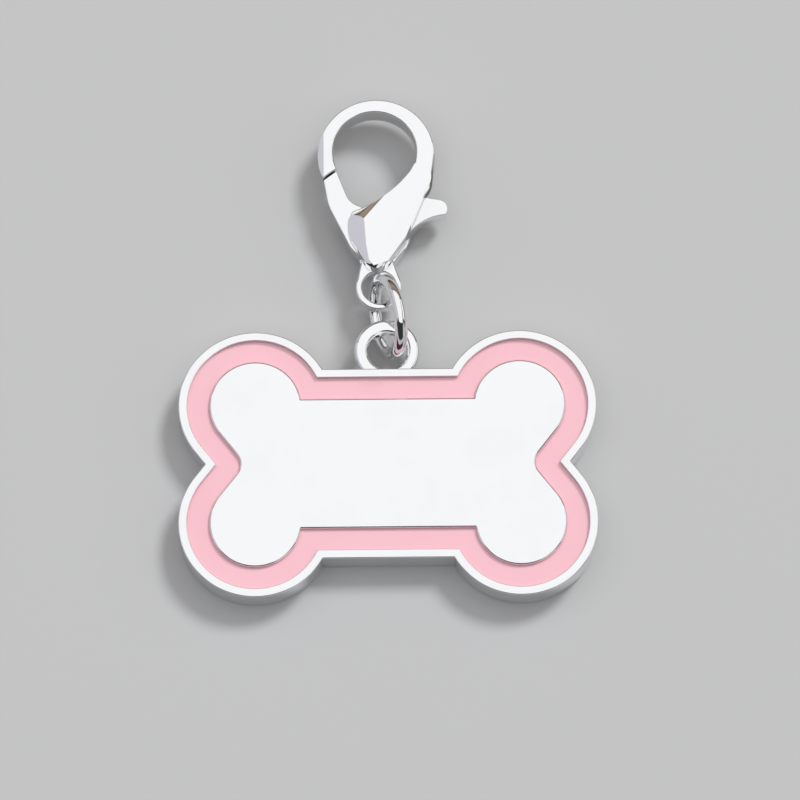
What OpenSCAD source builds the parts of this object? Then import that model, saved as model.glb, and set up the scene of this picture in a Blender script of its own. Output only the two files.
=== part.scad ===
// Pet id tag: a bone-shaped cast plate with an enamel border, joined by one
// jump ring to a sprung lobster clasp. All sizes are in millimetres.
// It lies flat as in the photograph: the plate's back is on z = 0 with its
// middle at the origin, and the clasp points along +Y.

/* [Tag plate] */
// Thickness of the plate
plate_t = 3.2; // [1.5:0.1:6]
// Middle of a lobe, sideways from the centre line
lobe_x = 12.65; // [9:0.05:20]
// Middle of a lobe, up or down from the centre
lobe_y = 5.8; // [4:0.05:10]
// Radius of a lobe
lobe_r = 7.35; // [5:0.05:10]
// Height of the straight bar between the lobes
bar_h = 18.8; // [12:0.1:26]
// Half the opening angle of the notch between two lobes, in degrees
notch_half = 52; // [44:1:60]
// Width of the raised rim
rim_w = 0.82; // [0.4:0.02:2]
// Width of the enamel band inside the rim
band_w = 2.15; // [1:0.05:4]
// Rounding of the raised panel at the notches
panel_notch_r = 1.5; // [0.5:0.1:3]
// Depth of the channel that holds the enamel
channel_deep = 1.1; // [0.6:0.05:2]
// How far the enamel's face lies below the rim
enamel_down = 0.45; // [0.1:0.05:0.9]

/* [Loop on the plate] */
// Middle of the loop above the bar's edge
loop_up = 1.9; // [1.9:0.05:4]
// Radius of the loop's hole
loop_hole_r = 1.85; // [1.6:0.05:3]
// Width of the metal round the hole
loop_wall = 1.3; // [0.8:0.05:2.5]
// Thickness of the loop
loop_t = 1.4; // [0.8:0.05:1.6]
// Chamfer along the loop's edges
loop_edge = 0.3; // [0.05:0.05:0.45]
// Space between the jump ring's wire and the underside of the loop
loop_over_wire = 0.35; // [0.3:0.05:1]

/* [Jump ring] */
// Outside diameter of the jump ring
ring_d = 8.45; // [6:0.05:14]
// Diameter of its wire
wire_d = 1.25; // [0.6:0.05:1.4]
// Saw cut between the two ends of the wire
ring_cut = 0.08; // [0.02:0.01:0.3]
// How far the ring leans over from upright, in degrees
ring_lean = 16; // [0:1:30]
// How far the ring is turned round from the centre line, in degrees
ring_turn = 13.4; // [0:0.2:25]
// Middle of the ring, sideways from the centre line
ring_x = 0.1; // [-0.4:0.05:0.4]
// Height of the ring's lowest point over the table
ring_lift = 0.09; // [0:0.01:0.3]

/* [Clasp body] */
// Thickness over both cheeks
clasp_t = 5.2; // [4:0.1:8]
// Height of the rear cheek over the table
clasp_lift = 0.1; // [0:0.05:0.3]
// Middle of the eye, sideways from the centre line
eye_x = -0.74; // [-1:0.02:1]
// Radius of the eye's hole
eye_hole_r = 1.6; // [1.5:0.05:2.5]
// Width of the metal round the eye's hole
eye_wall = 0.62; // [0.4:0.02:1.5]
// Thickness of the eye
eye_t = 1.36; // [0.8:0.02:1.5]
// Chamfer round the eye's hole
eye_edge = 0.25; // [0.05:0.05:0.3]
// Neck between eye and cheeks, sideways and up from the eye
neck_at = [-0.16, 2.75];
// Radius of the cheeks' lower end at the neck
neck_r = 1.25; // [0.8:0.05:1.35]
// Radius of the wider neck that flares into the eye
flare_r = 1.45; // [1.4:0.05:1.8]
// Middle of the cheeks, sideways and up from the eye
cheek_at = [0.14, 5.85];
// Radius of the cheeks
cheek_r = 3.1; // [2.8:0.05:3.6]
// Root of the hook, sideways and up from the eye
root_at = [2.74, 10.05];
// Radius of the hook's root
root_r = 2.25; // [1.9:0.05:2.6]
// How far the cheeks stop short of the hook's edge at its root
root_step = 0.25; // [0.1:0.05:0.5]
// Middle of the hook's bow, sideways and up from the eye
hook_at = [-0.16, 13.25];
// Outside radius of the hook's bow
hook_r = 5.65; // [5.2:0.05:6.4]
// Thickness of the hook
hook_t = 2.6; // [2.2:0.05:3.4]
// Middle of the mouth, sideways and up from the eye
mouth_at = [-0.31, 13.6];
// Radius of the mouth
mouth_r = 4.05; // [3.6:0.05:4.4]
// Narrow foot of the mouth, sideways and up from the eye
foot_at = [-2.46, 8.45];
// Radius of the mouth's foot
foot_r = 0.7; // [0.5:0.05:0.9]
// Crown of the cheeks across the clasp, as a radius
crown_r = 5.2; // [4.5:0.1:8]
// Crown of the cheeks along the clasp, as a radius
barrel_r = 16; // [12:0.5:30]

/* [Clasp lever] */
// Thickness of the lever
lever_t = 1.8; // [1.2:0.05:2]
// Space between the lever and each cheek
lever_side = 0.1; // [0.05:0.01:0.2]
// Space round the lever's edge inside the cheeks
lever_round = 0.14; // [0.1:0.02:0.3]
// Gap of the seam where the lever meets the hook
seam_gap = 0.1; // [0.05:0.01:0.2]
// Pivot of the lever, sideways and up from the eye
pivot_at = [0.3, 4.65];
// Diameter of the lever's pin
pin_d = 1.2; // [0.8:0.05:1.6]
// Running space between pin and lever, on the radius
pin_run = 0.04; // [0.01:0.01:0.08]
// Metal of the front cheek left over the pin's blind end
pin_cover = 0.7; // [0.4:0.05:1.2]
// How far the pin's end is sunk in the rear cheek
pin_sunk = 0.15; // [0.05:0.05:0.4]
// Radius of the lever round its pin
hub_r = 1.7; // [1.3:0.05:1.8]
// Heel of the lever, sideways and up from the pivot
heel_at = [-1.1, 0.55];
// Radius of the heel
heel_r = 2.25; // [1.9:0.05:2.3]
// Bend of the gate arm, sideways and up from the pivot
bend_at = [-4.2, 3.9];
// Radius of the arm at its bend
bend_r = 0.95; // [0.7:0.05:1.1]
// Radius of the arm at its tip
tip_r = 0.72; // [0.5:0.02:0.8]
// Direction of the arm's tip from the middle of the bow, in degrees
tip_way = 200.3; // [196:0.5:206]
// Shoulder of the thumb tab, sideways and up from the pivot
shoulder_at = [2.9, 3.15];
// Radius of the shoulder
shoulder_r = 1.45; // [1.2:0.05:1.6]
// End of the thumb tab, sideways and up from the pivot
tab_at = [5.4, 3.2];
// Radius of the tab's end
tab_r = 0.92; // [0.6:0.02:1.1]
// Middle of the thumb scoop under the tab, sideways and up from the pivot
scoop_at = [6.45, -2.2];
// Radius of the thumb scoop
scoop_r = 4.77; // [4:0.05:4.9]
// How far the lever opens, in degrees
lever_opens = 28; // [15:1:30]

/* [Lever spring] */
// Seat of the spring in the body, sideways and up from the pivot
seat_at = [0.65, 4.1];
// Direction of the spring from that seat, in degrees
spring_way = 225; // [215:1:235]
// Length of the spring with the gate shut
spring_long = 2.2; // [1.9:0.05:2.4]
// Outside diameter of the spring
spring_d = 0.84; // [0.6:0.02:1]
// Diameter of the spring's wire
spring_wire = 0.16; // [0.1:0.01:0.2]
// Number of turns
spring_turns = 5; // [3:1:8]
// Space round the spring in its pockets
pocket_gap = 0.08; // [0.04:0.01:0.15]

/* [Hidden] */
$fn = 96;

// How far every cut runs past its surface
overrun = 1;
// How far straight sides start inside a round end, so that they cross it cleanly
tuck = 0.004;
// Space between the two hole edges that the ring holds, as a share of its bore
link_share = 0.47;
// Middle of the ring between those two edges, as a share of that space
ring_share = 0.43;
// Radius of the seam, as a share of the way from pivot to bow
seam_share = 0.97;

panel_in = rim_w + band_w;
bar_top = bar_h / 2;
loop_y = bar_top + loop_up;
loop_r = loop_hole_r + loop_wall;
loop_low = wire_d + loop_over_wire;
ring_r = (ring_d - wire_d) / 2;
link_gap = link_share * (ring_d - 2 * wire_d);
ring_y = loop_y + loop_hole_r + ring_share * link_gap;
ring_z = ring_lift + wire_d / 2 + ring_r * cos(ring_lean);
eye = [eye_x, loop_y + loop_hole_r + link_gap + eye_hole_r];
eye_r = eye_hole_r + eye_wall;
clasp_mid = clasp_lift + clasp_t / 2;
neck = eye + neck_at;
cheek = eye + cheek_at;
root = eye + root_at;
hook = eye + hook_at;
mouth = eye + mouth_at;
foot = eye + foot_at;
pivot = eye + pivot_at;
slot_t = lever_t + 2 * lever_side;
seam_r = seam_share * norm(hook - pivot);
tip = hook + (hook_r + mouth_r) / 2 * [cos(tip_way), sin(tip_way)];
tip_at = tip - pivot;
seat = pivot + seat_at;
pin_low = clasp_lift + pin_sunk;
pin_high = clasp_lift + clasp_t - pin_cover;

// Point at a distance and direction from the origin
function polar(far, way) = far * [cos(way), sin(way)];

// Two round ends joined by their outer tangent lines
module taper(a, ra, b, rb) {
    way = atan2(b.y - a.y, b.x - a.x);
    lean = acos((ra - rb) / norm(b - a));
    translate(a) circle(ra);
    translate(b) circle(rb);
    polygon([
        a + polar(ra - tuck, way - lean),
        b + polar(rb - tuck, way - lean),
        b + polar(rb - tuck, way + lean),
        a + polar(ra - tuck, way + lean)
    ]);
}

// Slice of a disc between two directions, less than half a turn wide
module slice(far, from, to) {
    reach = 2 * far;
    intersection() {
        circle(far);
        polygon([
            [0, 0],
            polar(reach, from),
            polar(reach, (from + to) / 2),
            polar(reach, to)
        ]);
    }
}

// Ring of flat metal with chamfered edges
module washer(inner, outer, thick, edge) {
    rotate_extrude()
        polygon([
            [inner, edge],
            [inner + edge, 0],
            [outer - edge, 0],
            [outer, edge],
            [outer, thick - edge],
            [outer - edge, thick],
            [inner + edge, thick],
            [inner, thick - edge]
        ]);
}

// Plate of a given thickness, centred on the middle plane of the clasp
module at_mid(thick) {
    translate([0, 0, clasp_mid - thick / 2])
        linear_extrude(thick)
            children();
}

// Bone outline, moved inwards by a distance
module bone(inset) {
    for (side = [-1, 1], end = [-1, 1])
        translate([side * lobe_x, end * lobe_y]) circle(lobe_r - inset);
    square([2 * lobe_x, bar_h - 2 * inset], center = true);
    notch_fill(inset);
    rotate(180) notch_fill(inset);
}

// Part of the outline between two lobes: tangent to both, with a notch
module notch_fill(inset) {
    far = lobe_r - inset - tuck;
    touch = [lobe_x, lobe_y] + polar(far, notch_half - 90);
    point_x = touch.x - touch.y / tan(notch_half);
    round_r = panel_notch_r * pow(inset / panel_in, 2);
    mid_x = point_x + round_r / sin(notch_half);
    start = [mid_x, 0] + polar(round_r, notch_half + 90);
    difference() {
        polygon([
            [0, -lobe_y],
            [lobe_x, -lobe_y],
            [touch.x, -touch.y],
            [start.x, -start.y],
            start,
            touch,
            [lobe_x, lobe_y],
            [0, lobe_y]
        ]);
        if (round_r > 0) translate([mid_x, 0]) circle(round_r + tuck);
    }
}

// Cast plate: base, raised rim, raised panel and hanging loop
module tag_plate() {
    color("silver")
    difference() {
        union() {
            linear_extrude(plate_t) bone(0);
            translate([0, loop_y, loop_low])
                washer(loop_hole_r, loop_r, loop_t, loop_edge);
        }
        translate([0, 0, plate_t - channel_deep])
            linear_extrude(channel_deep + overrun)
                band();
    }
}

// Plan of the enamel channel
module band() {
    difference() {
        bone(rim_w);
        bone(panel_in);
    }
}

// Enamel set hard in the channel, a little below the rim
module enamel_border() {
    color("pink")
    translate([0, 0, plate_t - channel_deep])
        linear_extrude(channel_deep - enamel_down)
            band();
}

// Jump ring: one turn of round wire, sawn through once
module jump_ring() {
    color("gainsboro")
    translate([ring_x, ring_y, ring_z])
        rotate([0, 90 + ring_lean, ring_turn])
            difference() {
                rotate_extrude()
                    translate([ring_r, 0]) circle(wire_d / 2);
                translate([ring_r / 2, -ring_cut / 2, -wire_d])
                    cube([ring_r, ring_cut, 2 * wire_d]);
            }
}

// Plan of the mouth, which narrows to the foot
module mouth_plan() {
    taper(mouth, mouth_r, foot, foot_r);
}

// Plan of one cheek
module cheek_plan() {
    difference() {
        union() {
            taper(cheek, cheek_r, neck, neck_r);
            taper(cheek, cheek_r, root, root_r - root_step);
        }
        mouth_plan();
    }
}

// Barrel that crowns the front cheek
module crown() {
    along = atan2(root.y - neck.y, root.x - neck.x);
    translate([pivot.x, pivot.y, clasp_mid + clasp_t / 2 - crown_r])
        rotate([90, 0, along - 90])
            rotate_extrude()
                intersection() {
                    translate([crown_r - barrel_r, 0]) circle(barrel_r);
                    translate([0, -barrel_r]) square([barrel_r, 2 * barrel_r]);
                }
}

// Front cheek, flat inside and crowned outside
module front_cheek() {
    intersection() {
        translate([0, 0, clasp_mid])
            linear_extrude(clasp_t)
                cheek_plan();
        crown();
    }
}

// Plan of the lever round its pivot, grown by a working space
module lever_plan(grow) {
    intersection() {
        union() {
            taper(heel_at, heel_r + grow, bend_at, bend_r + grow);
            taper(bend_at, bend_r + grow, tip_at, tip_r + grow);
        }
        circle(seam_r - seam_gap / 2 + grow);
    }
    difference() {
        union() {
            taper([0, 0], hub_r + grow, shoulder_at, shoulder_r + grow);
            taper(shoulder_at, shoulder_r + grow, tab_at, tab_r + grow);
        }
        translate(scoop_at) circle(scoop_r - grow);
    }
}

// Everything that the lever passes through between shut and open
module lever_sweep() {
    gate_from = atan2(tip_at.y, tip_at.x) - lever_opens;
    gate_to = atan2(heel_at.y, heel_at.x) + lever_opens;
    tab_to = atan2(shoulder_at.y, shoulder_at.x);
    tab_far = norm(shoulder_at) + shoulder_r + lever_round;
    lever_plan(lever_round);
    rotate(-lever_opens) lever_plan(lever_round);
    slice(seam_r + seam_gap / 2, gate_from, gate_to);
    slice(tab_far, tab_to - lever_opens, tab_to);
}

// Clasp casting: hook, two cheeks, neck and eye
module clasp_body() {
    color("silver")
    difference() {
        union() {
            at_mid(hook_t) hook_plan();
            at_mid(slot_t) cheek_plan();
            front_cheek();
            translate([0, 0, 2 * clasp_mid]) mirror([0, 0, 1]) front_cheek();
            at_mid(eye_t) taper(eye, eye_r, neck, flare_r);
        }
        at_mid(slot_t) translate(pivot) lever_sweep();
        translate([pivot.x, pivot.y, -overrun])
            cylinder(h = pin_high + overrun, d = pin_d);
        eye_hole();
        spring_pocket();
    }
}

// Plan of the hook, open towards the gate
module hook_plan() {
    difference() {
        taper(hook, hook_r, root, root_r);
        mouth_plan();
        translate(pivot)
            slice(seam_r + seam_gap / 2,
                  atan2(tip_at.y, tip_at.x) - lever_opens,
                  atan2(heel_at.y, heel_at.x) + lever_opens);
    }
}

// Hole through the eye for the jump ring, flared at both faces
module eye_hole() {
    low = -eye_t / 2;
    translate([eye.x, eye.y, clasp_mid])
        rotate_extrude()
            polygon([
                [0, low - overrun],
                [eye_hole_r + eye_edge + overrun, low - overrun],
                [eye_hole_r, low + eye_edge],
                [eye_hole_r, -low - eye_edge],
                [eye_hole_r + eye_edge + overrun, -low + overrun],
                [0, -low + overrun]
            ]);
}

// Pocket for the spring's end in the body, and in the lever
module spring_pocket() {
    translate([seat.x, seat.y, clasp_mid])
        rotate([0, 90, spring_way])
            cylinder(h = spring_long, d = spring_d + 2 * pocket_gap);
}

// Lever: gate arm on one side of the pin, thumb tab on the other
module clasp_lever() {
    color("lightgray")
    difference() {
        at_mid(lever_t) translate(pivot) lever_plan(0);
        translate([pivot.x, pivot.y, -overrun])
            cylinder(h = clasp_t + 2 * overrun, r = pin_d / 2 + pin_run);
        spring_pocket();
    }
}

// Pin pressed through the rear cheek into a blind hole in the front cheek
module lever_pin() {
    color("darkgray")
    translate([pivot.x, pivot.y, pin_low])
        cylinder(h = pin_high - pin_low, d = pin_d);
}

// Small coil spring between body and lever, which holds the gate shut
module lever_spring() {
    sides = 8;
    steps = 16;
    rows = spring_turns * steps;
    coil_r = (spring_d - spring_wire) / 2;
    wire_r = spring_wire / 2;
    rise = spring_long - spring_wire;
    points = [
        for (row = [0 : rows], side = [0 : sides - 1])
            let (turn = 360 * row / steps, spin = 360 * side / sides,
                 far = coil_r + wire_r * cos(spin))
            [far * cos(turn), far * sin(turn),
             wire_r + rise * row / rows + wire_r * sin(spin)]
    ];
    faces = [
        for (row = [0 : rows - 1], side = [0 : sides - 1])
            let (next = (side + 1) % sides, here = row * sides)
            each [[here + side, here + sides + side, here + sides + next],
                  [here + side, here + sides + next, here + next]],
        [for (side = [0 : sides - 1]) side],
        [for (side = [sides - 1 : -1 : 0]) rows * sides + side]
    ];
    color("dimgray")
    translate([seat.x, seat.y, clasp_mid])
        rotate([0, 90, spring_way])
            polyhedron(points, faces);
}

tag_plate();
enamel_border();
jump_ring();
clasp_body();
clasp_lever();
lever_pin();
lever_spring();
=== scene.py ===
from math import acos, asin, atan2, cos, degrees, exp, hypot, radians, sin, tan

import bmesh
import bpy
from mathutils import Matrix, Quaternion, Vector


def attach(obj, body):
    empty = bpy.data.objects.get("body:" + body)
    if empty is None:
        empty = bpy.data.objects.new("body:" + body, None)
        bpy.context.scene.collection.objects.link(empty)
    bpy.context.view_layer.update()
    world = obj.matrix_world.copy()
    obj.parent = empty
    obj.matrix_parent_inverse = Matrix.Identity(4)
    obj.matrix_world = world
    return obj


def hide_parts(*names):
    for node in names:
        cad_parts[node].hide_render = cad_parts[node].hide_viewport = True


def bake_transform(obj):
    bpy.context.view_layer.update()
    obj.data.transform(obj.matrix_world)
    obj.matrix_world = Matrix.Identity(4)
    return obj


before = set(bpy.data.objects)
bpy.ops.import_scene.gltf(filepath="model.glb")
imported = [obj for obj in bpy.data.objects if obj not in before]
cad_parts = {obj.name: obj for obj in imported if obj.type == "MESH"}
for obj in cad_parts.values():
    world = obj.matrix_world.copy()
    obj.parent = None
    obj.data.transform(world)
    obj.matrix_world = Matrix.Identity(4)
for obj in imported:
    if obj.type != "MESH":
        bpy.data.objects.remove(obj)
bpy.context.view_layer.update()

# Plate casting
# The tag is a bone-shaped zinc casting with a raised rim, a raised blank panel
# and a sunk channel between them. It is tumbled, hand polished and plated with
# bright chrome, so its edges are a little rounded and its faces are mirrors.
plate_t = 3.2
lobe = Vector((12.65, 5.8, 0))
lobe_r = 7.35
bar_top = 9.4
notch_half = 52
rim_w = 0.82
panel_in = 2.97
panel_notch_r = 1.5
rim_notch_r = 0.05
channel_deep = 1.1
corner_r = 0.12
back_round = 0.16
rim_round = 0.13
rim_inner_round = 0.06
panel_round = 0.22
notch_steps = 8
lobe_steps = 96
fillet_steps = 6


def arc(bm, start, centre, sweep, steps):
    """Spins one vertex round a centre and returns the last vertex of the arc"""
    made = bmesh.ops.spin(
        bm, geom=[start], cent=centre, axis=(0, 0, 1), dvec=(0, 0, 0),
        angle=radians(sweep), space=Matrix.Identity(4), steps=steps, use_duplicate=False,
    )
    return made["geom_last"][0]


def straight(bm, start, place):
    """Draws one straight edge from a vertex and returns its far end"""
    far = bmesh.ops.extrude_vert_indiv(bm, verts=[start])["verts"][0]
    far.co = place
    return far


def polar(reach, way):
    """Point at a distance and a direction in degrees"""
    return Vector((reach * cos(radians(way)), reach * sin(radians(way)), 0))


def ends_of(edges):
    """The vertices of some edges, each once and in the order drawn"""
    return list(dict.fromkeys(v for e in edges for v in e.verts))


def bone_outline(bm, inset, z):
    """Bone outline moved inwards: a quarter is drawn with arcs, then mirrored twice"""
    before = set(bm.edges)
    up = Vector((0, 0, z))
    r = lobe_r - inset
    bar = bar_top - inset
    touch = lobe + polar(r, notch_half - 90)
    notch_r = panel_notch_r * (inset / panel_in) ** 2 + rim_notch_r
    notch_x = touch.x - touch.y / tan(radians(notch_half)) + notch_r / sin(radians(notch_half))
    notch = Vector((notch_x, 0, 0))
    fillet_y = bar + corner_r - lobe.y
    fillet_x = (r + corner_r) ** 2 - fillet_y ** 2
    fillet = lobe + Vector((-fillet_x ** 0.5, fillet_y, 0))
    lean = degrees(asin(fillet_y / (r + corner_r)))

    end = bm.verts.new(notch + polar(notch_r, 180) + up)
    end = arc(bm, end, notch + up, notch_half - 90, notch_steps)
    end = straight(bm, end, touch + up)
    end = arc(bm, end, lobe + up, 180 - lean - (notch_half - 90), lobe_steps)
    end = arc(bm, end, fillet + up, lean - 90, fillet_steps)
    end = straight(bm, end, Vector((0, bar, z)))
    for axis in "XY":
        drawn = [e for e in bm.edges if e not in before]
        bmesh.ops.mirror(
            bm, geom=ends_of(drawn) + drawn, matrix=Matrix.Identity(4), merge_dist=1e-4,
            axis=axis,
        )
    return [e for e in bm.edges if e not in before]


def bridged(bm, outlines):
    """Walls between one closed outline and the next"""
    for low, high in zip(outlines, outlines[1:]):
        bmesh.ops.bridge_loops(bm, edges=low + high)


def quarter(inset, z, radius, start, steps=4):
    """Rounded edge of the plate in section, as insets and heights"""
    turns = [radians(start - 90 * k / steps) for k in range(steps + 1)]
    return [(inset + radius * cos(t), z + radius * sin(t)) for t in turns]


def rounded(bm, edges, radius, segments=4):
    """Rounds edges as tumbling and polishing do"""
    return bmesh.ops.bevel(
        bm, geom=edges, offset=radius, offset_type="OFFSET", segments=segments,
        profile=0.5, affect="EDGES", clamp_overlap=True, material=-1, loop_slide=True,
        face_strength_mode="AFFECTED",
    )


def finished(bm, name, body, finish, stands_for, sharp=32):
    """Turns a shape drawn in millimetres into a finished piece, which rides on its body if it has one"""
    bmesh.ops.recalc_face_normals(bm, faces=bm.faces)
    bmesh.ops.scale(bm, vec=(0.001, 0.001, 0.001), verts=bm.verts)
    mesh = bpy.data.meshes.new(name)
    bm.to_mesh(mesh)
    bm.free()
    mesh.polygons.foreach_set("use_smooth", [True] * len(mesh.polygons))
    mesh.set_sharp_from_angle(angle=radians(sharp))
    mesh.materials.append(finish)
    piece = bpy.data.objects.new(name, mesh)
    bpy.context.scene.collection.objects.link(piece)
    even = piece.modifiers.new("flat faces stay flat", "WEIGHTED_NORMAL")
    even.keep_sharp = True
    even.use_face_influence = True
    if body:
        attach(piece, body)
    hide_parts(stands_for)
    return piece


def node(tree, kind, **values):
    """One shader node, with its settings and the values of its sockets"""
    made = tree.nodes.new(kind)
    for key, value in values.items():
        if hasattr(made, key):
            setattr(made, key, value)
        else:
            made.inputs[key.replace("_", " ")].default_value = value
    return made


scratch_lays = ((22, 150), (74, 190), (131, 120))
scratch_fine = 9000
scratch_from = 0.76
scratch_full = 0.86
scratch_rough = 0.05
haze_size = 210.0
haze_from = 0.42
haze_full = 0.72
polish_relief = 0.000004


def polish_group():
    """Marks of polishing and plating: long soft waves, hairline scratches and faint haze"""
    group = bpy.data.node_groups.new("polish marks", "ShaderNodeTree")
    face = group.interface
    for name, kind, start in (
        ("Wave Size", "NodeSocketFloat", 0.006),
        ("Wave Height", "NodeSocketFloat", 1.0),
        ("Scratches", "NodeSocketFloat", 1.0),
        ("Haze", "NodeSocketFloat", 0.03),
        ("Base Roughness", "NodeSocketFloat", 0.05),
    ):
        face.new_socket(name, in_out="INPUT", socket_type=kind).default_value = start
    face.new_socket("Height", in_out="OUTPUT", socket_type="NodeSocketFloat")
    face.new_socket("Roughness", in_out="OUTPUT", socket_type="NodeSocketFloat")
    face.new_socket("Tone", in_out="OUTPUT", socket_type="NodeSocketFloat")
    link = group.links.new
    given = group.nodes.new("NodeGroupInput")
    out = group.nodes.new("NodeGroupOutput")
    place = group.nodes.new("ShaderNodeTexCoord")

    size = node(group, "ShaderNodeMath", operation="DIVIDE")
    size.inputs[0].default_value = 1.0
    link(given.outputs["Wave Size"], size.inputs[1])
    waves = node(group, "ShaderNodeTexNoise", Detail=1.5, Roughness=0.4)
    link(place.outputs["Object"], waves.inputs["Vector"])
    link(size.outputs[0], waves.inputs["Scale"])
    wave_height = node(group, "ShaderNodeMath", operation="MULTIPLY")
    link(waves.outputs["Fac"], wave_height.inputs[0])
    link(given.outputs["Wave Height"], wave_height.inputs[1])

    height = wave_height.outputs[0]
    lines = None
    for turn, stretch in scratch_lays:
        lay = node(group, "ShaderNodeMapping")
        lay.inputs["Rotation"].default_value = (0, 0, radians(turn))
        lay.inputs["Scale"].default_value = (stretch, scratch_fine, scratch_fine)
        link(place.outputs["Object"], lay.inputs["Vector"])
        hair = node(group, "ShaderNodeTexNoise", Scale=1.0, Detail=0.0)
        link(lay.outputs["Vector"], hair.inputs["Vector"])
        cut = node(group, "ShaderNodeMapRange", interpolation_type="SMOOTHSTEP")
        cut.inputs["From Min"].default_value = scratch_from
        cut.inputs["From Max"].default_value = scratch_full
        link(hair.outputs["Fac"], cut.inputs["Value"])
        if lines is None:
            lines = cut.outputs["Result"]
        else:
            both = node(group, "ShaderNodeMath", operation="MAXIMUM")
            link(lines, both.inputs[0])
            link(cut.outputs["Result"], both.inputs[1])
            lines = both.outputs[0]
    scratch = node(group, "ShaderNodeMath", operation="MULTIPLY")
    link(lines, scratch.inputs[0])
    link(given.outputs["Scratches"], scratch.inputs[1])
    total = node(group, "ShaderNodeMath", operation="SUBTRACT")
    link(height, total.inputs[0])
    link(scratch.outputs[0], total.inputs[1])
    link(total.outputs[0], out.inputs["Height"])

    smear = node(group, "ShaderNodeTexNoise", Scale=haze_size, Detail=4.0, Roughness=0.55)
    link(place.outputs["Object"], smear.inputs["Vector"])
    patch = node(group, "ShaderNodeMapRange", interpolation_type="SMOOTHSTEP")
    patch.inputs["From Min"].default_value = haze_from
    patch.inputs["From Max"].default_value = haze_full
    link(smear.outputs["Fac"], patch.inputs["Value"])
    haze = node(group, "ShaderNodeMath", operation="MULTIPLY_ADD")
    link(patch.outputs["Result"], haze.inputs[0])
    link(given.outputs["Haze"], haze.inputs[1])
    link(given.outputs["Base Roughness"], haze.inputs[2])
    rough = node(group, "ShaderNodeMath", operation="MULTIPLY_ADD")
    rough.inputs[1].default_value = scratch_rough
    link(scratch.outputs[0], rough.inputs[0])
    link(haze.outputs[0], rough.inputs[2])
    link(rough.outputs[0], out.inputs["Roughness"])
    link(patch.outputs["Result"], out.inputs["Tone"])
    return group


polish = polish_group()


def plated(name, bright, dim, wave_size=0.006, wave_height=1.0, scratches=0.2, rough=0.04):
    """Bright plated metal, which differs from piece to piece in its polish"""
    finish = bpy.data.materials.new(name)
    finish.use_nodes = True
    tree = finish.node_tree
    shader = tree.nodes["Principled BSDF"]
    shader.inputs["Metallic"].default_value = 1.0
    marks = tree.nodes.new("ShaderNodeGroup")
    marks.node_tree = polish
    marks.inputs["Wave Size"].default_value = wave_size
    marks.inputs["Wave Height"].default_value = wave_height
    marks.inputs["Scratches"].default_value = scratches
    marks.inputs["Base Roughness"].default_value = rough
    tone = node(tree, "ShaderNodeMix", data_type="RGBA")
    tone.inputs["A"].default_value = (*bright, 1)
    tone.inputs["B"].default_value = (*dim, 1)
    bump = node(tree, "ShaderNodeBump", Strength=1.0, Distance=polish_relief)
    tree.links.new(marks.outputs["Tone"], tone.inputs["Factor"])
    tree.links.new(tone.outputs["Result"], shader.inputs["Base Color"])
    tree.links.new(marks.outputs["Roughness"], shader.inputs["Roughness"])
    tree.links.new(marks.outputs["Height"], bump.inputs["Height"])
    tree.links.new(bump.outputs["Normal"], shader.inputs["Normal"])
    return finish


plate_chrome = plated("polished plate chrome", (0.885, 0.892, 0.905), (0.865, 0.872, 0.888))

section = [
    *quarter(back_round, back_round, back_round, 270),
    *quarter(rim_round, plate_t - rim_round, rim_round, 180),
    *quarter(rim_w - rim_inner_round, plate_t - rim_inner_round, rim_inner_round, 90),
    (rim_w, plate_t - channel_deep),
    (panel_in, plate_t - channel_deep),
    *quarter(panel_in + panel_round, plate_t - panel_round, panel_round, 180),
]
bm = bmesh.new()
outlines = [bone_outline(bm, inset, z) for inset, z in section]
bmesh.ops.contextual_create(bm, geom=outlines[0])
bridged(bm, outlines)
bmesh.ops.contextual_create(bm, geom=outlines[-1])
finished(bm, "plate_casting", "tag", plate_chrome, "tag_plate")

# Hanging loop
# The loop is part of the same casting. Its section is flat on top and bottom
# and well rounded to the sides, so the ring runs smoothly in it.
loop_centre = Vector((0, 11.3, 0))
loop_low = 1.6
loop_t = 1.4
loop_hole_r = 1.85
loop_wall = 1.3
loop_outer_round = 0.42
loop_inner_round = 0.34
loop_sunk = 0.15


def band_section(bm, inner, outer, low, high, centre, inner_round, outer_round):
    """Section of a flat ring with rounded corners, standing beside the ring's middle"""
    corners = [(inner, low), (outer, low), (outer, high), (inner, high)]
    points = [bm.verts.new(centre + Vector((x, 0, z))) for x, z in corners]
    bm.faces.new(points)
    for ends, radius in ((points[:1] + points[3:], inner_round), (points[1:3], outer_round)):
        bmesh.ops.bevel(
            bm, geom=ends, offset=radius, offset_type="OFFSET", segments=6,
            profile=0.5, affect="VERTICES", clamp_overlap=True, material=-1,
        )
    bmesh.ops.delete(bm, geom=list(bm.faces), context="FACES_ONLY")
    return list(bm.verts) + list(bm.edges)


def turned_ring(inner, outer, low, high, centre, inner_round, outer_round, steps=128):
    """The section spun once round the ring's middle"""
    bm = bmesh.new()
    section = band_section(bm, inner, outer, low, high, centre, inner_round, outer_round)
    bmesh.ops.spin(
        bm, geom=section, cent=centre, axis=(0, 0, 1), dvec=(0, 0, 0),
        angle=radians(360), space=Matrix.Identity(4), steps=steps, use_merge=True,
        use_duplicate=False,
    )
    return bm


def ground(bm, through, facing):
    """Takes away all that stands over a plane and closes the flat that it leaves"""
    everything = list(bm.verts) + list(bm.edges) + list(bm.faces)
    made = bmesh.ops.bisect_plane(
        bm, geom=everything, dist=1e-5, plane_co=through, plane_no=facing, clear_outer=True,
    )
    rim = [e for e in made["geom_cut"] if isinstance(e, bmesh.types.BMEdge)]
    open_rim = [e for e in rim if e.is_boundary]
    if open_rim:
        bmesh.ops.holes_fill(bm, edges=open_rim, sides=0)


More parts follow.
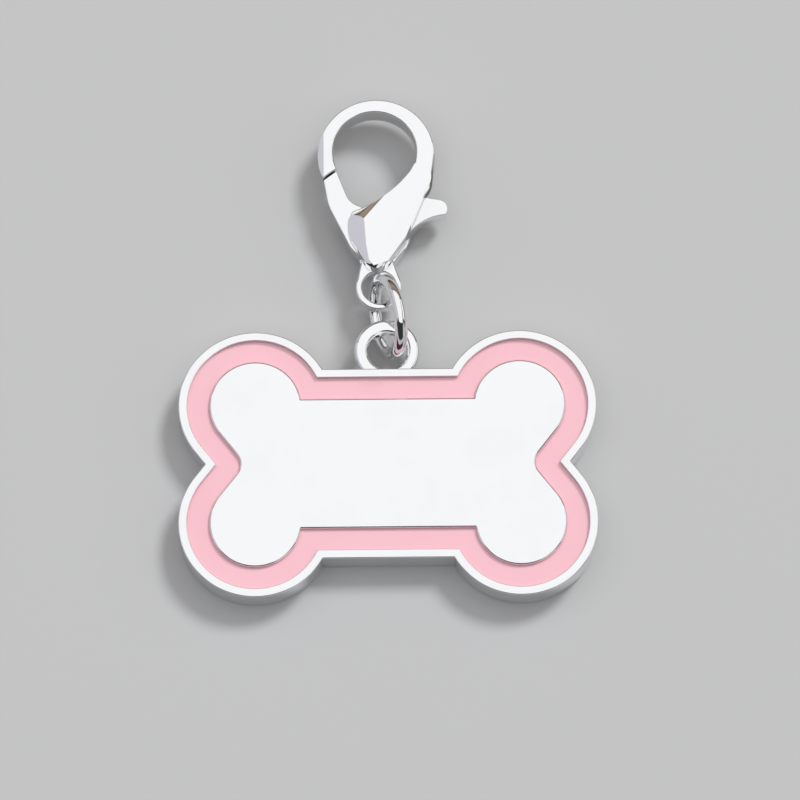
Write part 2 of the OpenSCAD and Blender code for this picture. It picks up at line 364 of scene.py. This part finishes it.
bm = turned_ring(
    loop_hole_r, loop_hole_r + loop_wall, loop_low, loop_low + loop_t, loop_centre,
    loop_inner_round, loop_outer_round,
)
ground(bm, Vector((0, bar_top - rim_w + loop_sunk, 0)), Vector((0, -1, 0)))
finished(bm, "hanging_loop", "tag", plate_chrome, "tag_plate")

# Enamel border
# Pink enamel is dropped into the channel from a needle and baked hard. It
# creeps up the walls a little, so its glossy face is slightly hollow.
enamel_down = 0.45
enamel_creep = 0.13
creep_width = 0.09
creep_steps = (0, 0.03, 0.07, 0.12, 0.19, 0.3, 0.5, 0.8)
enamel_bite = 0.01

bm = bmesh.new()
middle = (panel_in - rim_w) / 2
enamel_floor = plate_t - channel_deep + enamel_bite
outlines = [bone_outline(bm, rim_w - enamel_bite, enamel_floor)]
for count, step in enumerate((*creep_steps, middle, *creep_steps[::-1])):
    height = plate_t - enamel_down + enamel_creep * exp(-step / creep_width)
    inset = panel_in + enamel_bite - step
    if count < len(creep_steps):
        inset = rim_w - enamel_bite + step
    outlines.append(bone_outline(bm, inset, height))
outlines.append(bone_outline(bm, panel_in + enamel_bite, enamel_floor))
bridged(bm, outlines)
bmesh.ops.bridge_loops(bm, edges=outlines[-1] + outlines[0])

enamel = bpy.data.materials.new("pink enamel")
enamel.use_nodes = True
tree = enamel.node_tree
shader = tree.nodes["Principled BSDF"]
shader.inputs["Roughness"].default_value = 0.3
shader.inputs["IOR"].default_value = 1.5
shader.inputs["Coat Weight"].default_value = 1.0
shader.inputs["Coat Roughness"].default_value = 0.04
place = tree.nodes.new("ShaderNodeTexCoord")
cloud = node(tree, "ShaderNodeTexNoise", Scale=260.0, Detail=3.0, Roughness=0.5)
tree.links.new(place.outputs["Object"], cloud.inputs["Vector"])
pinks = node(tree, "ShaderNodeMix", data_type="RGBA")
pinks.inputs["A"].default_value = (0.86, 0.48, 0.545, 1)
pinks.inputs["B"].default_value = (0.83, 0.45, 0.515, 1)
tree.links.new(cloud.outputs["Fac"], pinks.inputs["Factor"])
tree.links.new(pinks.outputs["Result"], shader.inputs["Base Color"])
finished(bm, "enamel_inlay", "tag", enamel, "enamel_border", sharp=50)

# Jump ring
# One turn of round wire, sawn off a coil, pressed shut and plated. It links the
# loop of the plate with the eye of the clasp, and nothing else holds it.
ring_d = 8.45
wire_d = 1.25
ring_lean = 16
ring_turn = 13.4
ring_centre = Vector((0.1, 14.352, 4.176))
ring_cut = 0.08
cut_round = 0.05

bm = bmesh.new()
ring_r = (ring_d - wire_d) / 2
gap = degrees(ring_cut / ring_r)
bmesh.ops.create_circle(
    bm, cap_ends=True, segments=36, radius=wire_d / 2,
    matrix=Matrix.Translation((ring_r, 0, 0)) @ Matrix.Rotation(radians(90), 4, "X"),
)
bmesh.ops.rotate(
    bm, verts=bm.verts, cent=(0, 0, 0), matrix=Matrix.Rotation(radians(gap / 2), 3, "Z"),
)
bmesh.ops.spin(
    bm, geom=list(bm.faces), cent=(0, 0, 0), axis=(0, 0, 1), dvec=(0, 0, 0),
    angle=radians(360 - gap), space=Matrix.Identity(4), steps=160, use_duplicate=False,
)
ends = [f for f in bm.faces if len(f.verts) > 4]
rounded(bm, [e for f in ends for e in f.edges], cut_round, 2)
bmesh.ops.transform(
    bm, verts=bm.verts,
    matrix=Matrix.Translation(ring_centre)
    @ Matrix.Rotation(radians(ring_turn), 4, "Z")
    @ Matrix.Rotation(radians(90 + ring_lean), 4, "Y"),
)
wire_chrome = plated(
    "plated ring wire", (0.87, 0.875, 0.885), (0.85, 0.853, 0.862),
    wave_size=0.003, scratches=0.06,
)
finished(bm, "ring_wire", "ring", wire_chrome, "jump_ring")

# Clasp casting
# Hook, two cheeks, neck and eye are one zinc casting, split at the sides by a
# slot for the lever. The cheeks are ground to broad facets before plating. The
# outlines run round discs, so most places here are the middles of arcs.
clasp_mid = 2.7
eye = Vector((-0.74, 17.5465, 0))
pivot = eye + Vector((0.3, 4.65, 0))
shoulder = pivot + Vector((2.9, 3.15, 0))
neck = eye + Vector((-0.16, 2.75, 0))
cheek = eye + Vector((0.14, 5.85, 0))
cheek_tip = cheek + Vector((-2.4525, 0.485, 0))
land_tip = cheek + Vector((-2.276, 1.257, 0))
root = eye + Vector((2.74, 10.05, 0))
bow_root = root + Vector((0.1, 0.4, 0))
cheek_end = root + Vector((0.1, 0.95, 0))
hook = eye + Vector((-0.16, 13.25, 0))
mouth = eye + Vector((-0.31, 13.6, 0))
mouth_run = mouth + Vector((-5.91, 5.32, 0))
mouth_end = mouth + Vector((0.55, -5.065, 0))
cheek_run = mouth + Vector((-6.8, 4.761, 0))
hook_r = 5.65
mouth_r = 4.05
mouth_run_r = 12
cheek_run_r = 12.35
bow_root_r = 2.4
shoulder_r = 1.59
cheek_r = 3.1
cheek_right_r = 2.85
cheek_end_r = 2.3
cheek_tip_r = 0.6
cheek_corner = 0.08
land_tip_r = 0.5
land_corner = 0.16
neck_r = 1.25
hook_half = 1.3
slot_half = 1.0
cheek_top = 2.6
cheek_stock = 0.2
crown_up = 0.6
eye_half = 0.68
eye_hole_r = 1.6
eye_r = 2.22
seam_r = 8.35
seam_gap = 0.06
hook_round = 0.16
corner_spare = 0.01
land_round = 0.14
polished_edge = 0.05
border_chamfer = 0.26
border_side = Vector((1, -0.4, 0))
upright = 0.05
level = 0.9
tuck = 0.02
hook_flats = (
    ((-5.98, 0), (-0.588, 0, 0.809)),
    ((4.25, 27.77), (0.664, -0.082, 0.743)),
    ((4.0, 26.99), (0.579, -0.335, 0.743)),
)
cheek_way = 24
cheek_flats = ((-15, 1.6), (-5, 0.55), (5, -0.7), (12.5, -2.2))
mouth_crease = ((-2.05, 23.97, 2.625), (-0.212, 26.176, 2.383), (0.783, 27.37, 2.051))
mouth_aside = (-0.768, 0.64)
mouth_flats = ((20, 0, 0), (27, 0.35, 0.13), (33, 0.7, 0.31))
left_crease = ((-1.6, 19.5, 2.1), (-1.92, 21.2, 2.468), (-2.05, 23.08, 2.613))
left_slope = 33
tip_flats = (
    ((-1.5, 19.75, 2.2), (-0.393, -0.437, 0.809)),
    ((-0.85, 19.3, 2.09), (0.02, -0.587, 0.809)),
)


def disc(centre, radius=0):
    """A disc for an outline to run round: under zero it is a hollow, at zero a sharp corner"""
    return (centre.x, centre.y, radius)


def crossing(a, b, radius, side):
    """A small disc where the edges of two discs cross, so that the corner is rounded"""
    far_a = abs(a[2] - radius)
    far_b = abs(b[2] - radius)
    gap = hypot(b[0] - a[0], b[1] - a[1])
    along = (far_a ** 2 - far_b ** 2 + gap ** 2) / (2 * gap)
    across = side * max(0, far_a ** 2 - along ** 2) ** 0.5
    ux, uy = (b[0] - a[0]) / gap, (b[1] - a[1]) / gap
    return (a[0] + along * ux - across * uy, a[1] + along * uy + across * ux, radius)


def belt_turns(discs):
    """Where the belt reaches each disc and how far it turns there, in degrees"""
    leaves = []
    for (ax, ay, ar), (bx, by, br) in zip(discs, discs[1:] + discs[:1]):
        way = atan2(by - ay, bx - ax)
        reach = (ar - br) / hypot(bx - ax, by - ay)
        leaves.append(degrees(way - acos(max(-1, min(1, reach)))))
    turns = []
    for index, (x, y, r) in enumerate(discs):
        arrives = leaves[index - 1]
        turn = (leaves[index] - arrives) % 360
        if r < 0:
            turn = -((arrives - leaves[index]) % 360)
        turns.append((arrives, turn))
    return turns


def belt(bm, discs, z, inset=0):
    """Closed outline like a belt round discs, anticlockwise, made of arcs and straight lines"""
    before = set(bm.edges)
    moved = [(x, y, r - inset if r else 0) for x, y, r in discs]
    for index, (x, y, r) in enumerate(discs):
        if not r and inset > 1e-6:
            sides = [
                crossing(moved[index - 1], moved[(index + 1) % len(moved)], 0, side)
                for side in (-1, 1)
            ]
            moved[index] = min(sides, key=lambda c: hypot(c[0] - x, c[1] - y))
    first = end = None
    for (x, y, r), (arrives, turn), (_, plain) in zip(moved, belt_turns(moved), belt_turns(discs)):
        centre = Vector((x, y, z))
        point = centre + polar(r, arrives)
        if end is None:
            first = end = bm.verts.new(point)
        else:
            end = straight(bm, end, point)
        if r and abs(plain) > 0.01:
            each = 3 if abs(r) > 0.5 else 12
            end = arc(bm, end, centre, turn, max(1, round(abs(plain) / each)))
    bm.edges.new((end, first))
    drawn = [e for e in bm.edges if e not in before]
    bmesh.ops.remove_doubles(bm, verts=ends_of(drawn), dist=1e-4)
    return [e for e in bm.edges if e not in before]


def slab(discs, low, high, radius=0):
    """Flat plate with the outline of a belt and rounded edges"""
    bm = bmesh.new()
    section = [(0, low), (0, high)]
    if radius:
        section = quarter(radius, low + radius, radius, 270, 6)
        section += quarter(radius, high - radius, radius, 180, 6)
    outlines = [belt(bm, discs, z, inset) for inset, z in section]
    bmesh.ops.contextual_create(bm, geom=outlines[0])
    bridged(bm, outlines)
    bmesh.ops.contextual_create(bm, geom=outlines[-1])
    return bm


def sharp_edges(bm, least=14):
    """Edges that the polishing wheel would round off"""
    return [
        e for e in bm.edges
        if len(e.link_faces) == 2 and degrees(e.calc_face_angle(0)) > least
    ]


def united(parts, cuts=()):
    """Shapes that were modelled apart become one closed shell, then the holes are cut"""
    objects = []
    for part in [*parts, *cuts]:
        bmesh.ops.dissolve_degenerate(part, dist=2e-4, edges=part.edges)
        bmesh.ops.recalc_face_normals(part, faces=part.faces)
        mesh = bpy.data.meshes.new("part")
        part.to_mesh(mesh)
        part.free()
        objects.append(bpy.data.objects.new("part", mesh))
        bpy.context.scene.collection.objects.link(objects[-1])
    whole = objects[0]
    for index, other in enumerate(objects[1:], 1):
        join = whole.modifiers.new("join", "BOOLEAN")
        join.operation = "UNION" if index < len(parts) else "DIFFERENCE"
        join.solver = "EXACT"
        join.object = other
    bpy.context.view_layer.update()
    shell = whole.evaluated_get(bpy.context.evaluated_depsgraph_get()).to_mesh()
    bm = bmesh.new()
    bm.from_mesh(shell)
    for part in objects:
        bpy.data.objects.remove(part)
    return bm


def round_bar(radius, low, high, place, sides=48):
    """Plain round bar along its own length, put in its place"""
    bm = bmesh.new()
    bmesh.ops.create_cone(
        bm, cap_ends=True, segments=sides, radius1=radius, radius2=radius, depth=high - low,
        matrix=place @ Matrix.Translation((0, 0, (low + high) / 2)),
    )
    return bm


hook_disc = disc(hook, hook_r)
mouth_disc = disc(mouth, -mouth_r)
mouth_run_disc = disc(mouth_run, -mouth_run_r)
bow_root_disc = disc(bow_root, bow_root_r)
shoulder_disc = disc(shoulder, -shoulder_r)
corner = hook_round + corner_spare
seam_disc = disc(pivot, -seam_r - seam_gap / 2)

# The bow runs round the outside of the hook to the seam, and back along its mouth
bow = slab([
    crossing(shoulder_disc, bow_root_disc, corner, -1),
    bow_root_disc,
    hook_disc,
    crossing(hook_disc, seam_disc, 0, -1),
    seam_disc,
    crossing(seam_disc, mouth_disc, 0, 1),
    mouth_disc,
    mouth_run_disc,
    disc(mouth_end, corner),
    shoulder_disc,
], -hook_half, hook_half, hook_round)
for side in (-1, 1):
    for (x, y), (east, north, up) in hook_flats:
        ground(bow, Vector((x, y, side * hook_half)), Vector((east, north, side * up)))

# Cheek and land run from the neck up the right border, and back along the mouth
cheek_end_disc = disc(cheek_end, cheek_end_r)
land_end_disc = disc(cheek_end, cheek_end_r - tuck)
cheek_discs = [
    disc(neck, neck_r),
    disc(cheek, cheek_right_r),
    cheek_end_disc,
    crossing(cheek_end_disc, mouth_disc, cheek_corner, -1),
    mouth_disc,
    disc(cheek_run, -cheek_run_r),
    disc(cheek_tip, cheek_tip_r),
    disc(cheek, cheek_r),
]
land_discs = [
    disc(neck, neck_r - tuck),
    disc(cheek, cheek_right_r - tuck),
    land_end_disc,
    crossing(land_end_disc, mouth_disc, land_corner, -1),
    mouth_disc,
    mouth_run_disc,
    disc(land_tip, land_tip_r),
    disc(cheek, cheek_r - tuck),
]


def facet(bm, first, last, slope):
    """A flat that falls away to the left of a crease, as steep as the slope in degrees"""
    first, last = Vector(first), Vector(last)
    crease = (last - first).normalized()
    aside = Vector((-crease.y, crease.x, 0)).normalized()
    down = aside * cos(radians(slope)) - Vector((0, 0, sin(radians(slope))))
    ground(bm, first, crease.cross(down))


def cheek_shell():
    """Front cheek: cast block, then its facets"""
    bm = slab(cheek_discs, slot_half + tuck, cheek_top + cheek_stock)
    crown = Vector((pivot.x, pivot.y + crown_up, cheek_top))
    along = Vector((sin(radians(cheek_way)), cos(radians(cheek_way)), 0))
    for lean, shift in cheek_flats:
        facing = along * sin(radians(lean)) + Vector((0, 0, cos(radians(lean))))
        ground(bm, crown - along * shift, facing)
    for slope, aside, drop in mouth_flats:
        bends = [
            Vector((x + mouth_aside[0] * aside, y + mouth_aside[1] * aside, z - drop))
            for x, y, z in mouth_crease
        ]
        facet(bm, bends[0], bends[1], slope)
        facet(bm, bends[1], bends[2], slope)
    facet(bm, left_crease[1], left_crease[2], left_slope)
    facet(bm, left_crease[0], left_crease[1], left_slope)
    for through, facing in tip_flats:
        ground(bm, Vector(through), Vector(facing))
    right_border = [
        e for e in bm.edges
        if len(e.link_faces) == 2
        and min(abs(f.normal.z) for f in e.link_faces) < upright
        and max(f.normal.z for f in e.link_faces) > level
        and all((v.co - neck).dot(border_side) > 0 for v in e.verts)
    ]
    rounded(bm, right_border, border_chamfer, 1)
    return bm


front = cheek_shell()
rounded(front, sharp_edges(front), polished_edge, 2)
land = slab(land_discs, slot_half, hook_half, land_round)
rear, rear_land = front.copy(), land.copy()
for half in (rear, rear_land):
    bmesh.ops.scale(half, vec=(1, 1, -1), verts=half.verts)
    bmesh.ops.reverse_faces(half, faces=half.faces)

# The eye is a flat ring, and a bridge and a web tie it to the neck
eye_outer_round = 0.2
eye_inner_round = 0.25
bridge_r = 1.45
bridge_hollow_r = 1.68
bridge_toe = 0.24
bridge_left = 167
bridge_right = 19.6
bridge_sunk = 0.005
web_left = eye + Vector((-1.26, 2.7, 0))
web_right = eye + Vector((0.99, 2.75, 0))
web_sunk = 0.03
web_bite = 0.05
bail = turned_ring(
    eye_hole_r, eye_r, -eye_half, eye_half, eye, eye_inner_round, eye_outer_round, 96,
)
bridge = slab([
    disc(neck, bridge_r),
    disc(eye + polar(eye_r - bridge_toe, bridge_left), bridge_toe),
    disc(eye, -bridge_hollow_r),
    disc(eye + polar(eye_r - bridge_toe, bridge_right), bridge_toe),
], bridge_sunk - eye_half, eye_half - bridge_sunk, eye_outer_round)
web = slab([
    disc(web_left),
    disc(neck, neck_r - web_sunk),
    disc(web_right),
], -slot_half - web_bite, slot_half + web_bite)

# The casting is bored from behind for the pin, and has a pocket for the spring
pin_r = 0.6
pin_low = 0.25
pin_high = 4.6
overrun = 1
pin_place = Matrix.Translation(pivot - Vector((0, 0, clasp_mid)))
pin_hole = round_bar(pin_r, -overrun, pin_high, pin_place)
spring_d = 0.84
spring_long = 2.2
spring_play = 0.08
spring_way = 225
seat = pivot + Vector((0.75, 4.05, 0))
spring_place = (
    Matrix.Translation(seat)
    @ Matrix.Rotation(radians(spring_way), 4, "Z")
    @ Matrix.Rotation(radians(90), 4, "Y")
)
pocket = round_bar(spring_d / 2 + spring_play, 0, spring_long, spring_place)

bm = united([bow, land, front, rear_land, rear, bridge, bail, web], [pin_hole, pocket])
bmesh.ops.translate(bm, verts=bm.verts, vec=(0, 0, clasp_mid))
clasp_chrome = plated(
    "polished clasp chrome", (0.885, 0.89, 0.9), (0.865, 0.868, 0.88),
    wave_size=0.004, wave_height=1.2, scratches=0.04,
)
finished(bm, "clasp_casting", "clasp", clasp_chrome, "clasp_body", sharp=18)

# Gate lever
# One flat casting turns on the pin between the cheeks: the gate arm closes the
# hook on the left, and the thumb tab stands out on the right.
lever_half = 0.9
lever_round = 0.1
pin_run = 0.04
gate_reach = seam_r - seam_gap / 2
gate_corner = 0.11
gate_front = 122.04
gate_rear = 131.59
gate_hollow = pivot + Vector((-4.2, 3.9, 0)) + polar(2.95, 28.9)
gate_hollow_r = 1.86
gate_back = pivot + Vector((-1.27, 4.85, 0))
gate_back_r = 4
arm_root = pivot + Vector((-1.1, 0.55, 0))
arm_root_r = 2.25
nook = pivot + Vector((0.048, 2.827, 0))
nook_r = 0.3
lever_shoulder_r = 1.45
barrel_r = 1.7
tab = pivot + Vector((5.5, 3.2, 0))
tab_r = 0.92
tab_corner = 0.15
scoop = pivot + Vector((6.45, -2.2, 0))
scoop_r = 4.77

arm_root_disc = disc(arm_root, arm_root_r)
tab_disc = disc(tab, tab_r)
scoop_disc = disc(scoop, -scoop_r)
lever = slab([
    tab_disc,
    disc(shoulder, lever_shoulder_r),
    disc(nook, -nook_r),
    arm_root_disc,
    disc(gate_hollow, -gate_hollow_r),
    disc(pivot + polar(gate_reach - gate_corner, gate_front), gate_corner),
    disc(pivot + polar(gate_reach - gate_corner, gate_rear), gate_corner),
    disc(gate_back, gate_back_r),
    arm_root_disc,
    disc(pivot, barrel_r),
    scoop_disc,
    crossing(scoop_disc, tab_disc, tab_corner, -1),
], -lever_half, lever_half, lever_round)
run_hole = round_bar(pin_r + pin_run, -2 * overrun, 2 * overrun, Matrix.Translation(pivot))
pocket = round_bar(spring_d / 2 + spring_play, 0, spring_long, spring_place)
bm = united([lever], [run_hole, pocket])
bmesh.ops.translate(bm, verts=bm.verts, vec=(0, 0, clasp_mid))
lever_chrome = plated(
    "polished lever chrome", (0.88, 0.885, 0.895), (0.86, 0.865, 0.875),
    wave_size=0.004, scratches=0.04,
)
finished(bm, "gate_lever", "lever", lever_chrome, "clasp_lever")

# Lever pin
# The lever turns on a short steel pin. It is pressed in from behind and ends in
# a blind hole, so only its turned end shows, at the back.
pin_chamfer = 0.1
pin_squeeze = 0.005

bm = round_bar(pin_r - pin_squeeze, pin_low, pin_high, Matrix.Translation(pivot))
ends = [f for f in bm.faces if len(f.verts) > 4]
rounded(bm, [e for f in ends for e in f.edges], pin_chamfer, 1)
pin_steel = plated(
    "turned pin steel", (0.5, 0.49, 0.47), (0.42, 0.41, 0.4),
    wave_size=0.001, scratches=1.5, rough=0.28,
)
finished(bm, "hinge_pin", "clasp", pin_steel, "lever_pin", sharp=20)

# Lever spring
# A small coil spring of steel wire sits in a pocket between casting and lever
# and holds the gate shut. One end bears on the casting, the other on the lever,
# but the piece rides on neither.
spring_wire = 0.16
spring_turns = 5
turn_steps = 24

bm = bmesh.new()
coil_r = (spring_d - spring_wire) / 2
rise = spring_long - spring_wire
bmesh.ops.create_circle(
    bm, cap_ends=True, segments=10, radius=spring_wire / 2,
    matrix=Matrix.Translation((coil_r, 0, spring_wire / 2)) @ Matrix.Rotation(radians(90), 4, "X"),
)
bmesh.ops.spin(
    bm, geom=list(bm.faces), cent=(0, 0, 0), axis=(0, 0, 1),
    dvec=(0, 0, rise / (spring_turns * turn_steps)), angle=radians(360 * spring_turns),
    space=Matrix.Identity(4), steps=spring_turns * turn_steps, use_duplicate=False,
)
bmesh.ops.transform(
    bm, verts=bm.verts, matrix=Matrix.Translation((0, 0, clasp_mid)) @ spring_place,
)
spring_steel = plated(
    "spring wire", (0.46, 0.45, 0.44), (0.38, 0.37, 0.37),
    wave_size=0.001, scratches=0.8, rough=0.24,
)
spring = finished(bm, "gate_spring", None, spring_steel, "lever_spring")
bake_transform(spring)

# Table and studio
# The tag lies flat on a plain pale table under one wide soft box, with a paler
# panel on each side. The plating mirrors the room, which is dark, brown and pale.
table_half = 3
table_tone = (0.5, 0.505, 0.51)

floor_mesh = bpy.data.meshes.new("table_top")
bm = bmesh.new()
bmesh.ops.create_grid(bm, x_segments=1, y_segments=1, size=table_half)
bm.to_mesh(floor_mesh)
bm.free()
table = bpy.data.objects.new("table_top", floor_mesh)
bpy.context.scene.collection.objects.link(table)
paper = bpy.data.materials.new("pale paper")
paper.use_nodes = True
shader = paper.node_tree.nodes["Principled BSDF"]
shader.inputs["Base Color"].default_value = (*table_tone, 1)
shader.inputs["Roughness"].default_value = 0.9
floor_mesh.materials.append(paper)


def lamp(name, kind, way, height, reach, power, size, colour=(1, 1, 1), shows=True):
    """A lamp that looks at the tag from a compass direction and a height in degrees"""
    light = bpy.data.lights.new(name, kind)
    light.energy = power
    light.color = colour
    if kind == "AREA":
        light.shape = "RECTANGLE"
        light.size, light.size_y = size
    else:
        light.angle = radians(size)
    made = bpy.data.objects.new(name, light)
    bpy.context.scene.collection.objects.link(made)
    seen = polar(cos(radians(height)), way) + Vector((0, 0, sin(radians(height))))
    made.location = seen * reach
    made.rotation_mode = "QUATERNION"
    made.rotation_quaternion = seen.to_track_quat("Z", "Y")
    made.visible_glossy = shows
    made.visible_camera = False
    return made


lamp("soft_box", "AREA", way=90, height=86, reach=0.5, power=2.4, size=(0.84, 0.9))
lamp("right_panel", "AREA", way=10, height=30, reach=0.6, power=0.35, size=(0.5, 0.24))
lamp(
    "left_panel", "AREA", way=175, height=28, reach=0.6, power=0.5, size=(0.6, 0.42),
    colour=(0.95, 0.92, 1.0),
)
lamp("window", "SUN", way=50, height=46, reach=1, power=1.9, size=16, shows=False)

room = bpy.data.worlds.new("studio")
bpy.context.scene.world = room
room.use_nodes = True
tree = room.node_tree
sky = tree.nodes["Background"]
look = tree.nodes.new("ShaderNodeTexCoord")
way = tree.nodes.new("ShaderNodeSeparateXYZ")
tree.links.new(look.outputs["Generated"], way.inputs["Vector"])


def towards(axis, start, full):
    """How far a direction lies towards one side of the room, from 0 to 1"""
    share = node(tree, "ShaderNodeMapRange", interpolation_type="SMOOTHSTEP")
    share.inputs["From Min"].default_value = start
    share.inputs["From Max"].default_value = full
    tree.links.new(way.outputs[axis], share.inputs["Value"])
    return share.outputs["Result"]


def walls_meet(share, first, second):
    """One wall passes into the next, each with a colour of its own or one worked out before"""
    mix = node(tree, "ShaderNodeMix", data_type="RGBA")
    tree.links.new(share, mix.inputs["Factor"])
    for socket, colour in (("A", first), ("B", second)):
        if isinstance(colour, tuple):
            mix.inputs[socket].default_value = (*colour, 1)
        else:
            tree.links.new(colour, mix.inputs[socket])
    return mix.outputs["Result"]


def by_height(*bands):
    """A wall painted in bands, given as height and colour"""
    ramp = tree.nodes.new("ShaderNodeValToRGB")
    marks = ramp.color_ramp.elements
    for index, (height, colour) in enumerate(bands):
        mark = marks[index] if index < 2 else marks.new(height)
        mark.position = height
        mark.color = (*colour, 1)
    tree.links.new(way.outputs["Z"], ramp.inputs["Fac"])
    return ramp.outputs["Color"]


dark_wall = (0.035, 0.035, 0.037)
warm_wall = (0.17, 0.15, 0.135)
pale_wall = by_height((0.5, (0.54, 0.544, 0.552)), (0.62, dark_wall))
brown_wall = by_height(
    (0.16, (0.09, 0.06, 0.042)), (0.68, dark_wall),
    (0.45, (0.36, 0.28, 0.21)), (0.6, (0.3, 0.24, 0.18)),
)
back_wall = walls_meet(towards("X", -0.59, -0.62), brown_wall, pale_wall)
right_wall = walls_meet(towards("X", 0.6, 0.95), dark_wall, warm_wall)
front_wall = walls_meet(towards("X", 0.4, 0.58), dark_wall, pale_wall)
walls = walls_meet(towards("Y", -0.35, -0.5), right_wall, front_wall)
walls = walls_meet(towards("Y", 0.3, 0.75), walls, back_wall)
walls = walls_meet(towards("Z", 0.05, 0.1), table_tone, walls)
tree.links.new(walls, sky.inputs["Color"])
sky.inputs["Strength"].default_value = 1.0

# Camera
# A long lens looks down from a little in front, as the photograph does. What it
# sees at the height of the plate's face is 76.5 mm wide.
frame_wide = 0.0765
reach = 0.6
tilt = 17
roll = -0.5
sensor = 36
aim = Vector((0.0012, 0.00622, 0.0032))

camera = bpy.data.cameras.new("camera")
viewer = bpy.data.objects.new("camera", camera)
bpy.context.scene.collection.objects.link(viewer)
camera.sensor_width = sensor
camera.lens = sensor * reach / frame_wide
camera.clip_start = 0.05
camera.clip_end = 20
back_to = Vector((0, -sin(radians(tilt)), cos(radians(tilt))))
viewer.location = aim + back_to * reach
viewer.rotation_mode = "QUATERNION"
viewer.rotation_quaternion = back_to.to_track_quat("Z", "Y") @ Quaternion((0, 0, 1), radians(roll))
bpy.context.scene.camera = viewer
bpy.context.scene.view_settings.view_transform = "Standard"
